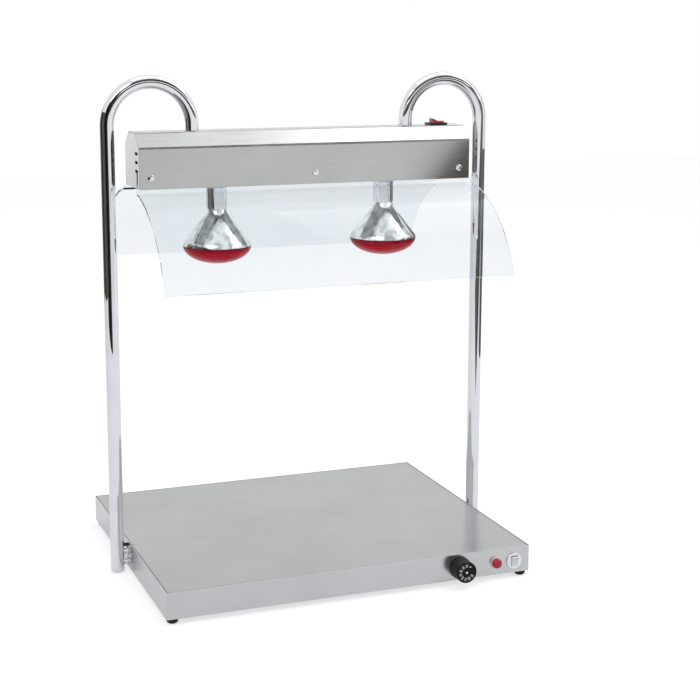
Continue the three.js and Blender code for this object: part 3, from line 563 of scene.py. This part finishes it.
sleeve_round = 0.4 * mm
shape = cad_copy("cable_sleeve")
round_edges(shape, sleeve_round, sharper_than=60)
sleeve = piece_from(shape, "cable_sleeve_rubber", rubber)
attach(sleeve, "warmer")
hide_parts("cable_sleeve")


# Lamp housing and end caps
# One sheet of brushed stainless folded over front, roof and back, drawn without the holes that other
# pieces fill. Two flat caps with three vent holes over a slot close its ends; they are brushed upright
# and given a lighter tone than the sheet, which is painted light.
steel_lengthways = brushed_stainless("brushed_stainless_lengthways", 0, "#babbbb", "#adaeaf")
# Painted light: the end caps' steel is given a lighter tone than the housing's sheet.
steel_upright_painted_lighter = brushed_stainless("brushed_stainless_upright_painted_lighter", 2, "#d9dad8", "#cbccca")
hood_low, hood_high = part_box("lamp_housing")
hood_wall = 1.5 * mm
hood_edge = 0.3 * mm
cap_edge = 0.25 * mm
fold_round = 8 * mm
fold_steps = 10
roof_half = 24 * mm
eaves = hood_high.z - 25 * mm


def rounded_line(corners, radius, steps):
    """Points of a line through corners, with an arc in place of each inner corner."""
    line = [corners[0]]
    for before, corner, after in zip(corners, corners[1:], corners[2:]):
        back = (before - corner).normalized()
        ahead = (after - corner).normalized()
        half_corner = back.angle(ahead) / 2
        centre = corner + (back + ahead).normalized() * radius / math.sin(half_corner)
        spoke = corner + back * radius / math.tan(half_corner) - centre
        bend = math.copysign(math.pi - 2 * half_corner, back.cross(ahead))
        for i in range(steps + 1):
            line.append(centre + Matrix.Rotation(-bend * i / steps, 2) @ spoke)
    return [*line, corners[-1]]


rear_line = [(hood_high.y, hood_low.z), (hood_high.y, eaves), (roof_half, hood_high.z)]
front_line = [(-y, z) for y, z in reversed(rear_line)]
shape = bmesh.new()
points = rounded_line([Vector(corner) for corner in rear_line + front_line], fold_round, fold_steps)
line = [shape.verts.new((hood_low.x, *point)) for point in points]
for first, second in zip(line, line[1:]):
    shape.edges.new((first, second))
grown = bmesh.ops.extrude_edge_only(shape, edges=shape.edges[:])["geom"]
bmesh.ops.translate(shape, verts=new_verts(grown), vec=(hood_high.x - hood_low.x, 0, 0))
bmesh.ops.recalc_face_normals(shape, faces=shape.faces)
if max(shape.faces, key=lambda face: face.calc_center_median().z).normal.z < 0:
    bmesh.ops.reverse_faces(shape, faces=shape.faces)
thicken(shape, hood_wall)
round_edges(shape, hood_edge, sharper_than=60)
hood = piece_from(shape, "folded_lamp_housing", steel_lengthways)
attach(hood, "warmer")
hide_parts("lamp_housing")
for name in ("left", "right"):
    shape = cad_copy(f"end_cap_{name}")
    round_edges(shape, cap_edge, sharper_than=40)
    cap = piece_from(shape, f"vented_end_cap_{name}", steel_upright_painted_lighter)
    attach(cap, "warmer")
    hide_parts(f"end_cap_{name}")


# Guards
# Two clear acrylic sheets, 4 mm thick, bent hot: a tab up behind the housing's wall, a tight bend
# and a long curve outwards. The cut edges are polished, and wiping leaves a faint smear.
smear_size = 70 * mm
clear_acrylic, tree, shader = plain_material("clear_acrylic")
shader.inputs["Transmission Weight"].default_value = 1.0
# Acrylic's index is 1.49; a lower one mirrors the room as faintly as in the photograph.
shader.inputs["IOR"].default_value = 1.15
smear = pattern_on(tree, smear_size)
colour_by(tree, shader, smear, "#ecf0f2", "#f3f6f7")
surface_by(tree, shader, smear, smooth=0.0, rough=0.03)

guard_thickness = 4 * mm
guard_bend = 6 * mm
guard_bend_height = hood_low.z
guard_slope = math.radians(10)
guard_radius = 246 * mm
guard_sweep = math.radians(58)
guard_bend_steps = 10
guard_sweep_steps = 48
guard_tab_face = hood_high.y - hood_wall - seat_gap
guard_tab_foot = hood_low.z + 0.4 * mm
guard_tab_side = hood_high.x - 5.5 * mm
polish_round = 0.4 * mm


def cut_here(shape, point, normal):
    """Divides the faces along a plane, and leaves both sides."""
    everything = shape.verts[:] + shape.edges[:] + shape.faces[:]
    bmesh.ops.bisect_plane(shape, geom=everything, dist=merge_gap, plane_co=point, plane_no=normal)


def draw_arc(shape, last, centre, angle, steps):
    """Draws a line on from its last corner, round a centre (y, z); returns the new last corner."""
    grown = bmesh.ops.spin(
        shape,
        geom=last,
        cent=(0, *centre),
        axis=(1, 0, 0),
        angle=angle,
        steps=steps,
    )["geom_last"]
    return new_verts(grown)


def guard_sheet(low, high, side):
    """A guard's sheet, drawn down from its tab; side is -1 for the front and 1 for the rear."""
    shape = bmesh.new()
    top = shape.verts.new((low.x, -guard_tab_face, high.z))
    last = bmesh.ops.extrude_vert_indiv(shape, verts=[top])["verts"]
    bmesh.ops.translate(shape, verts=last, vec=(0, 0, guard_bend_height - high.z))
    bend_centre = (-guard_tab_face - guard_bend, guard_bend_height)
    last = draw_arc(shape, last, bend_centre, guard_slope - math.radians(90), guard_bend_steps)
    curve_y = last[0].co.y + guard_radius * math.sin(guard_slope)
    curve_z = last[0].co.z - guard_radius * math.cos(guard_slope)
    draw_arc(shape, last, (curve_y, curve_z), guard_sweep, guard_sweep_steps)
    grown = bmesh.ops.extrude_edge_only(shape, edges=shape.edges[:])["geom"]
    bmesh.ops.translate(shape, verts=new_verts(grown), vec=(high.x - low.x, 0, 0))
    bmesh.ops.remove_doubles(shape, verts=shape.verts, dist=merge_gap)
    if side > 0:
        bmesh.ops.rotate(shape, verts=shape.verts, matrix=Matrix.Rotation(math.pi, 3, "Z"))
    bmesh.ops.recalc_face_normals(shape, faces=shape.faces)
    tab = max(shape.faces, key=lambda face: face.calc_center_median().z)
    if tab.normal.y * side < 0:
        bmesh.ops.reverse_faces(shape, faces=shape.faces)
    for edge_x in (-guard_tab_side, guard_tab_side):
        cut_here(shape, (edge_x, 0, 0), (1, 0, 0))
    cut_here(shape, (0, 0, guard_tab_foot), (0, 0, 1))
    ears = []
    for face in shape.faces:
        middle = face.calc_center_median()
        if abs(middle.x) > guard_tab_side and middle.z > guard_tab_foot:
            ears.append(face)
    bmesh.ops.delete(shape, geom=ears, context="FACES")
    thicken(shape, guard_thickness)
    bmesh.ops.recalc_face_normals(shape, faces=shape.faces)
    round_edges(shape, polish_round, sharper_than=60)
    return shape


for name, side in (("front", -1), ("rear", 1)):
    low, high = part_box(f"guard_{name}")
    shape = guard_sheet(low, high, side)
    sheet = piece_from(shape, f"clear_guard_{name}", clear_acrylic, smooth_below=25)
    sheet.visible_shadow = False
    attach(sheet, "warmer")
    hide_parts(f"guard_{name}")


# Guard screws
# Round-head screws that hold the guards' tabs, plated as bright as the posts. Each head has a
# cross recess.
screw_rise = 3.4 * mm
screw_shank = 2 * mm
dome_start = 10
cross_half_width = 0.8 * mm
cross_reach = 3.4 * mm
cross_depth = 1.3 * mm


def cut_cross(shape, crown):
    """Sinks a cross into the top of a head that stands upright, from its crown down."""
    for reach in (cross_half_width, cross_reach):
        for axis in ((1, 0, 0), (0, 1, 0)):
            for side in (-1, 1):
                cut_here(shape, [side * reach * part for part in axis], axis)
    inside = []
    for face in shape.faces:
        middle = face.calc_center_median()
        across, along = sorted((abs(middle.x), abs(middle.y)))
        if middle.z > crown / 2 and across < cross_half_width and along < cross_reach:
            inside.append(face)
    sunk = new_verts(bmesh.ops.extrude_face_region(shape, geom=inside)["geom"])
    bmesh.ops.translate(shape, verts=sunk, vec=(0, 0, -cross_depth))
    for corner in sunk:
        corner.co.z = min(corner.co.z, crown - cross_depth)


for face, side in (("front", -1), ("rear", 1)):
    for name in ("left", "middle", "right"):
        node = f"guard_screw_{face}_{name}"
        low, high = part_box(node)
        screw_head = (high.x - low.x) / 2
        end = (-high.y if side < 0 else low.y) - hood_high.y
        outline = [(0, end), (screw_shank, end), (screw_shank, seat_gap), (screw_head, seat_gap)]
        outline += arc((0, seat_gap), screw_head, dome_start, 90, 8, screw_rise / screw_head)
        crown = outline[-1][1]
        outline[-1] = (0, crown)
        shape = turned(outline, (0, 0, 0), steps=32)
        cut_cross(shape, crown)
        outwards = Matrix.Rotation(-side * math.radians(90), 3, "X")
        bmesh.ops.rotate(shape, verts=shape.verts, matrix=outwards)
        centre = ((low.x + high.x) / 2, side * hood_high.y, (low.z + high.z) / 2)
        bmesh.ops.translate(shape, verts=shape.verts, vec=centre)
        screw = piece_from(shape, f"round_head_{face}_{name}", chrome_plate)
        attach(screw, "warmer")
        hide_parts(node)


# Heat lamps
# Two blown reflector lamps. The flank is silvered and wavy from blowing, which breaks up what it
# mirrors, and its silver carries painted streaks of reflection; the bowl is stained ruby, and a bright
# spun collar with a bead hides the neck.
blown_wave = 11 * mm
blown_stretch = (1, 1, 0.22)
painted_streak_contrast = (0.36, 0.56)
blown_depth = 0.25 * mm
silvered_glass, tree, shader = plain_material("silvered_blown_glass")
shader.inputs["Metallic"].default_value = 1.0
shader.inputs["Coat Weight"].default_value = 1.0
shader.inputs["Coat Roughness"].default_value = 0.02
blown = pattern_on(tree, blown_wave, blown_stretch)
# Painted reflection: the silver's colour runs in upright streaks from grey to white, on top of the real
# relief waves.
colour_by(tree, shader, blown, "#b9bcbe", "#f3f5f6", *painted_streak_contrast)
surface_by(tree, shader, blown, smooth=0.1, rough=0.26, depth=blown_depth)

# Ruby-stained glass with a soft gloss. Towards the bowl's rim the colour is darkened to a deep red,
# which is painted shade.
stain_streak = 16 * mm
stain_stretch = (1, 1, 3)
rim_shade_start = 0.55
ruby_glaze, tree, shader = plain_material("ruby_glass")
shader.inputs["Roughness"].default_value = 0.16
shader.inputs["Specular IOR Level"].default_value = 0.12
streaks = pattern_on(tree, stain_streak, stain_stretch, detail=2.0)
pale_stain = colour_by(tree, shader, streaks, "#c80020", "#e3002c", noise_low, noise_high)
bowl_low, bowl_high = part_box("lamp_red_face_left")
own_place = add_node(tree, "ShaderNodeTexCoord").outputs["Object"]
height = add_node(tree, "ShaderNodeSeparateXYZ", inputs={"Vector": own_place}).outputs["Z"]
stain_low = bowl_low.lerp(bowl_high, rim_shade_start).z
to_rim = {"Value": height, "From Min": stain_low, "From Max": bowl_high.z}
painted_rim_shade = add_node(tree, "ShaderNodeMapRange", inputs=to_rim).outputs["Result"]
# Painted shade: deep red over the bowl's upper part, darkest at its rim.
rim_shade_tones = {0: painted_rim_shade, 6: pale_stain, 7: linear("#6c0018")}
stained = add_node(tree, "ShaderNodeMix", {"data_type": "RGBA"}, rim_shade_tones).outputs[2]
tree.links.new(stained, shader.inputs["Base Color"])


def curve_between(start, pull, end, steps):
    """Points of a curve that leaves one point towards a second and ends at a third."""
    points = []
    for i in range(steps + 1):
        t = i / steps
        points.append(tuple(start * (1 - t) ** 2 + pull * (2 * t * (1 - t)) + end * t**2))
    return points


lamp_radius = 62.5 * mm
lamp_neck = 17.3 * mm
lamp_shoulder = 61.8 * mm
lamp_rim_round = 4 * mm
flank_start = 0.09
flank_end = 0.88
shoulder_round = 9 * mm
glass_wall = 1.2 * mm
collar_wall = 0.9 * mm
collar_flange = 4 * mm
collar_flange_height = 1.5 * mm
collar_bead = 0.7 * mm
bead_half = 80
bead_stretch = 2
collar_bead_drop = 5 * mm
for name in ("left", "right"):
    low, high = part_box(f"lamp_glass_{name}")
    middle_x = (low.x + high.x) / 2
    rim_point = Vector((lamp_radius, lamp_rim_round))
    neck_point = Vector((lamp_neck, lamp_shoulder))
    flank_foot = rim_point.lerp(neck_point, flank_start)
    flank_top = rim_point.lerp(neck_point, flank_end)
    outline = curve_between(Vector((lamp_radius, 0)), rim_point, flank_foot, 8)
    outline += curve_between(flank_top, neck_point, neck_point + Vector((0, shoulder_round)), 10)
    outline.append((lamp_neck, high.z - low.z))
    shape = turned(outline, (middle_x, 0, low.z), steps=72)
    thicken(shape, glass_wall)
    bulb = piece_from(shape, f"lamp_bulb_{name}", silvered_glass)
    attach(bulb, "warmer")
    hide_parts(f"lamp_glass_{name}")

    face_low, face_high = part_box(f"lamp_red_face_{name}")
    depth = face_high.z - face_low.z
    outline = arc((0, 0), lamp_radius, -90, 0, 24, depth / lamp_radius)
    outline[0] = (0, -depth)
    shape = turned(outline, (middle_x, 0, face_high.z), steps=72)
    thicken(shape, glass_wall)
    bowl = piece_from(shape, f"lamp_ruby_bowl_{name}", ruby_glaze)
    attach(bowl, "warmer")
    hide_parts(f"lamp_red_face_{name}")

    collar_low, collar_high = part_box(f"lamp_collar_{name}")
    flange_radius = (collar_high.x - collar_low.x) / 2
    collar_radius = flange_radius - collar_flange
    bore = collar_radius - collar_wall
    top = collar_high.z - collar_low.z
    flange_low = top - collar_flange_height
    bead_centre = (collar_radius, hood_low.z - collar_low.z - collar_bead_drop)
    outline = [(bore, 0)]
    outline += arc((bore + collar_wall / 2, collar_wall / 2), collar_wall / 2, -90, 0, 3)
    outline += arc(bead_centre, collar_bead, -bead_half, bead_half, 6, bead_stretch)
    outline += [(collar_radius, flange_low), (flange_radius, flange_low), (flange_radius, top)]
    outline += [(bore, top), (bore, 0)]
    shape = turned(outline, (middle_x, 0, collar_low.z), steps=64)
    collar = piece_from(shape, f"bright_collar_{name}", chrome_plate)
    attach(collar, "warmer")
    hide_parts(f"lamp_collar_{name}")


# Thermostat knob
# A fluted knob moulded in black phenolic, glossy from its mould and pushed onto the thermostat's
# shaft. Its sunk face carries a ring of numbers in white pad print.
panel_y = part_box("base_body")[0].y
to_front = (math.radians(90), 0, 0)
knob_low, knob_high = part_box("thermostat_knob")
knob_middle = (knob_low + knob_high) / 2
knob_radius = (knob_high.x - knob_low.x) / 2
knob_length = knob_high.y - knob_low.y
knob_skirt = 3 * mm
knob_cone = 6 * mm
knob_face = 19.5 * mm
knob_round = 1.5 * mm
knob_rim = 2.4 * mm
face_sink = 0.5 * mm
flute_depth = 0.45 * mm
flute_inset = 0.25 * mm
flute_length = 10 * mm
barrel_lean = 0.01
shaft_bore = 3.5 * mm
bore_depth = 18.3 * mm
outline = [(0, bore_depth), (shaft_bore, bore_depth), (shaft_bore, 0), (knob_radius, 0)]
outline += [(knob_radius, knob_skirt), (knob_face, knob_cone)]
outline += arc((knob_face - knob_round, knob_length - knob_round), knob_round, 0, 90, 6)
inner_rim = knob_face - knob_rim
sunk_face = knob_length - face_sink
outline += [(inner_rim, knob_length), (inner_rim - face_sink, sunk_face), (0, sunk_face)]
knob_shape = turned(outline, (knob_middle.x, knob_high.y, knob_middle.z), to_front, steps=72)

# The flutes are sunk into every other long face of the knob's barrel.
barrel = []
for face in knob_shape.faces:
    longest = max(edge.calc_length() for edge in face.edges)
    from_axis = (face.calc_center_median() - knob_middle).xz.length
    if abs(face.normal.y) < barrel_lean and longest > flute_length and from_axis > 2 * shaft_bore:
        barrel.append(face)
barrel.sort(key=lambda face: math.atan2(face.normal.z, face.normal.x))
every_other = barrel[::2]
bmesh.ops.inset_individual(knob_shape, faces=every_other, thickness=flute_inset, depth=-flute_depth)
mould_grain = 0.8 * mm
grain_depth = 0.02 * mm
glossy_black, shader = grained(
    "glossy_black_phenolic", "#0b0b0d", "#17171a", mould_grain, smooth=0.1, rough=0.24, depth=grain_depth
)
shader.inputs["Specular IOR Level"].default_value = 0.15
dial = piece_from(knob_shape, "thermostat_dial_knob", glossy_black)
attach(dial, "thermostat_dial")
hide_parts("thermostat_knob")

# The ink lies as small dots, which leave it a little uneven.
print_dots = 0.6 * mm
white_print, tree, shader = plain_material("white_pad_print")
shader.inputs["Roughness"].default_value = 0.5
colour_by(tree, shader, pattern_on(tree, print_dots, detail=2.0), "#e4e4e2", "#f4f4f2")

# The dial turns by 270 degrees, from the dot to the last number. The numbers run anticlockwise and
# are read from the middle outwards.
number_size = 6.4 * mm
number_ring = 12.2 * mm
ink_height = 0.12 * mm
dot_radius = 1.4 * mm
hub_radius = 2.1 * mm
dial_turn = 270
dot_turn = -35
first_number_step = 35
temperatures = range(20, 100, 10)
number_turn = (dial_turn - first_number_step) / (len(temperatures) - 1)


def number_mesh(text):
    """Flat raised print of a number, centred on its own origin."""
    lettering = bpy.data.curves.new(f"number_{text}", "FONT")
    lettering.body = text
    lettering.size = number_size
    lettering.align_x = "CENTER"
    lettering.align_y = "CENTER"
    lettering.extrude = ink_height / 2
    lettering.resolution_u = 3
    holder = bpy.data.objects.new(f"number_{text}", lettering)
    bpy.context.collection.objects.link(holder)
    ready = holder.evaluated_get(bpy.context.evaluated_depsgraph_get())
    mesh = bpy.data.meshes.new_from_object(ready)
    bpy.data.objects.remove(holder)
    return mesh


def on_ring(degrees):
    """A place on the ring of marks, so many degrees anticlockwise from its top."""
    outwards = Matrix.Rotation(math.radians(90 + degrees), 4, "Z")
    return outwards @ Matrix.Translation((number_ring, 0, 0))


face_place = Matrix.Translation((knob_middle.x, knob_low.y + face_sink, knob_middle.z))
face_place = face_place @ Matrix.Rotation(math.radians(90), 4, "X")
print_shape = bmesh.new()
for step, temperature in enumerate(temperatures):
    mesh = number_mesh(str(temperature))
    mesh.transform(face_place @ on_ring(dot_turn + first_number_step + step * number_turn))
    print_shape.from_mesh(mesh)
    bpy.data.meshes.remove(mesh)
for place, radius in ((Matrix(), hub_radius), (on_ring(dot_turn), dot_radius)):
    bmesh.ops.create_cone(
        print_shape,
        cap_ends=True,
        segments=20,
        radius1=radius,
        radius2=radius,
        depth=ink_height,
        matrix=face_place @ place,
    )
bmesh.ops.remove_doubles(print_shape, verts=print_shape.verts, dist=merge_gap)
dial_numbers = piece_from(print_shape, "dial_numbers", white_print)
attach(dial_numbers, "thermostat_dial")


# Pilot lamp
# A round-nosed lens of clear red polycarbonate in a pale moulded bezel, which snaps into the base's
# front. The lens is smooth and lets flow lines show; the bezel is satin.
pale_grain = 1.2 * mm
pale_plastic, shader = grained(
    "moulded_pale_plastic", "#e0dfdd", "#ebeae8", pale_grain, smooth=0.3, rough=0.42, depth=grain_depth
)

flow_lines = 5 * mm
red_plastic, tree, shader = plain_material("clear_red_polycarbonate")
shader.inputs["Roughness"].default_value = 0.16
shader.inputs["Specular IOR Level"].default_value = 0.3
shader.inputs["Coat Weight"].default_value = 0.3
colour_by(tree, shader, pattern_on(tree, flow_lines, detail=2.0), "#8e0530", "#c0103f")

low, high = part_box("pilot_lamp_body")
pilot_place = ((low.x + high.x) / 2, panel_y, (low.z + high.z) / 2)
bezel_radius = (high.x - low.x) / 2
bezel_barrel = 7 * mm
bezel_bore = 4.5 * mm
bezel_bore_depth = 4 * mm
bezel_rim = 0.4 * mm
bezel_round = 1 * mm
bezel_face = bezel_rim + bezel_round
barrel_end = -(high.y - panel_y)
outline = [(0, barrel_end), (bezel_barrel, barrel_end)]
outline += [(bezel_barrel, seat_gap), (bezel_radius, seat_gap)]
outline += arc((bezel_radius - bezel_round, bezel_rim), bezel_round, 0, 90, 5)
outline += [(bezel_bore, bezel_face), (bezel_bore, -bezel_bore_depth), (0, -bezel_bore_depth)]
bezel = piece_from(turned(outline, pilot_place, to_front), "pilot_bezel", pale_plastic)
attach(bezel, "warmer")
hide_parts("pilot_lamp_body")

low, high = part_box("pilot_lamp_lens")
lens_radius = (high.x - low.x) / 2
lens_stem = 4 * mm
lens_seat = 1.7 * mm
lens_straight = 5.1 * mm
lens_rise = panel_y - low.y - lens_seat - lens_straight
stem_end = -(high.y - panel_y)
outline = [(0, stem_end), (lens_stem, stem_end), (lens_stem, lens_seat), (lens_radius, lens_seat)]
outline += arc((0, lens_seat + lens_straight), lens_radius, 0, 90, 10, lens_rise / lens_radius)
outline[-1] = (0, outline[-1][1])
lens = piece_from(turned(outline, pilot_place, to_front), "pilot_lens", red_plastic)
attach(lens, "warmer")
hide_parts("pilot_lamp_lens")


# Switches and cable gland
# A round mains switch with a pale key in a plated bezel, a lamp switch with a red key in a black
# one, and the gland that holds the supply cable. A fine spark-eroded grain leaves the black plastic
# satin.
black_plastic, shader = grained(
    "moulded_black_plastic", "#0b0b0d", "#17171a", mould_grain, smooth=0.26, rough=0.4, depth=grain_depth
)
key_round = 0.5 * mm
frame_round = 0.6 * mm
for node, name, material, slot, body, width in (
    ("mains_switch_body", "mains_switch_bezel", chrome_plate, "chrome_plate", "warmer", frame_round),
    ("mains_rocker", "mains_switch_key", pale_plastic, "pale_plastic", "mains_key", key_round),
    ("lamp_switch_body", "lamp_switch_bezel", black_plastic, "black_plastic", "warmer", key_round),
    ("lamp_rocker", "lamp_switch_key", red_plastic, "red_plastic", "lamp_key", frame_round),
    ("cable_gland", "cable_gland_body", black_plastic, "black_plastic", "warmer", frame_round),
):
    shape = cad_copy(node)
    round_edges(shape, width, steps=3, sharper_than=40)
    part = piece_from(shape, name, material)
    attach(part, body)
    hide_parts(node)


# Inside
# What the base and the housing hold: galvanised steel parts, a steel-clad element, copper sensor,
# brass lamp caps, glazed ceramic holders, mineral wool and the housing's cable.
fine_relief = 0.03 * mm
wool_relief = 0.6 * mm
roughness_swing = 0.06


def speckled(name, dark, light, rough, metal, size, depth=fine_relief):
    """A finish with a grain of one size: spangle on zinc, fibres in wool or scratches on brass."""
    smoothest = rough - roughness_swing
    roughest = rough + roughness_swing
    material, shader = grained(name, dark, light, size, smoothest, roughest, depth, detail=3.0)
    shader.inputs["Metallic"].default_value = metal
    return material


inner_finishes = {
    "zinc_plated_steel": speckled("galvanised_steel", "#9a9da0", "#c4c7ca", 0.38, 1.0, 12 * mm),
    "brass": speckled("turned_brass", "#a98f52", "#d0b878", 0.3, 1.0, 4 * mm),
    "copper": speckled("drawn_copper", "#9c5a32", "#c07f4c", 0.35, 1.0, 6 * mm),
    "ceramic": speckled("glazed_ceramic", "#dedad0", "#efece4", 0.25, 0.0, 3 * mm),
    "mineral_wool": speckled("mineral_wool", "#9c8d62", "#c8bb8e", 0.9, 0.0, 2 * mm, wool_relief),
    "cable_sheath": speckled("silicone_sheath", "#cfc9bd", "#e2ddd2", 0.5, 0.0, 2 * mm),
    "pale_plastic": pale_plastic,
    "chrome_plate": chrome_plate,
}

for name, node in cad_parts.items():
    slot_name = node.material_slots[0].name
    if slot_name in inner_finishes:
        node.material_slots[0].material = inner_finishes[slot_name]
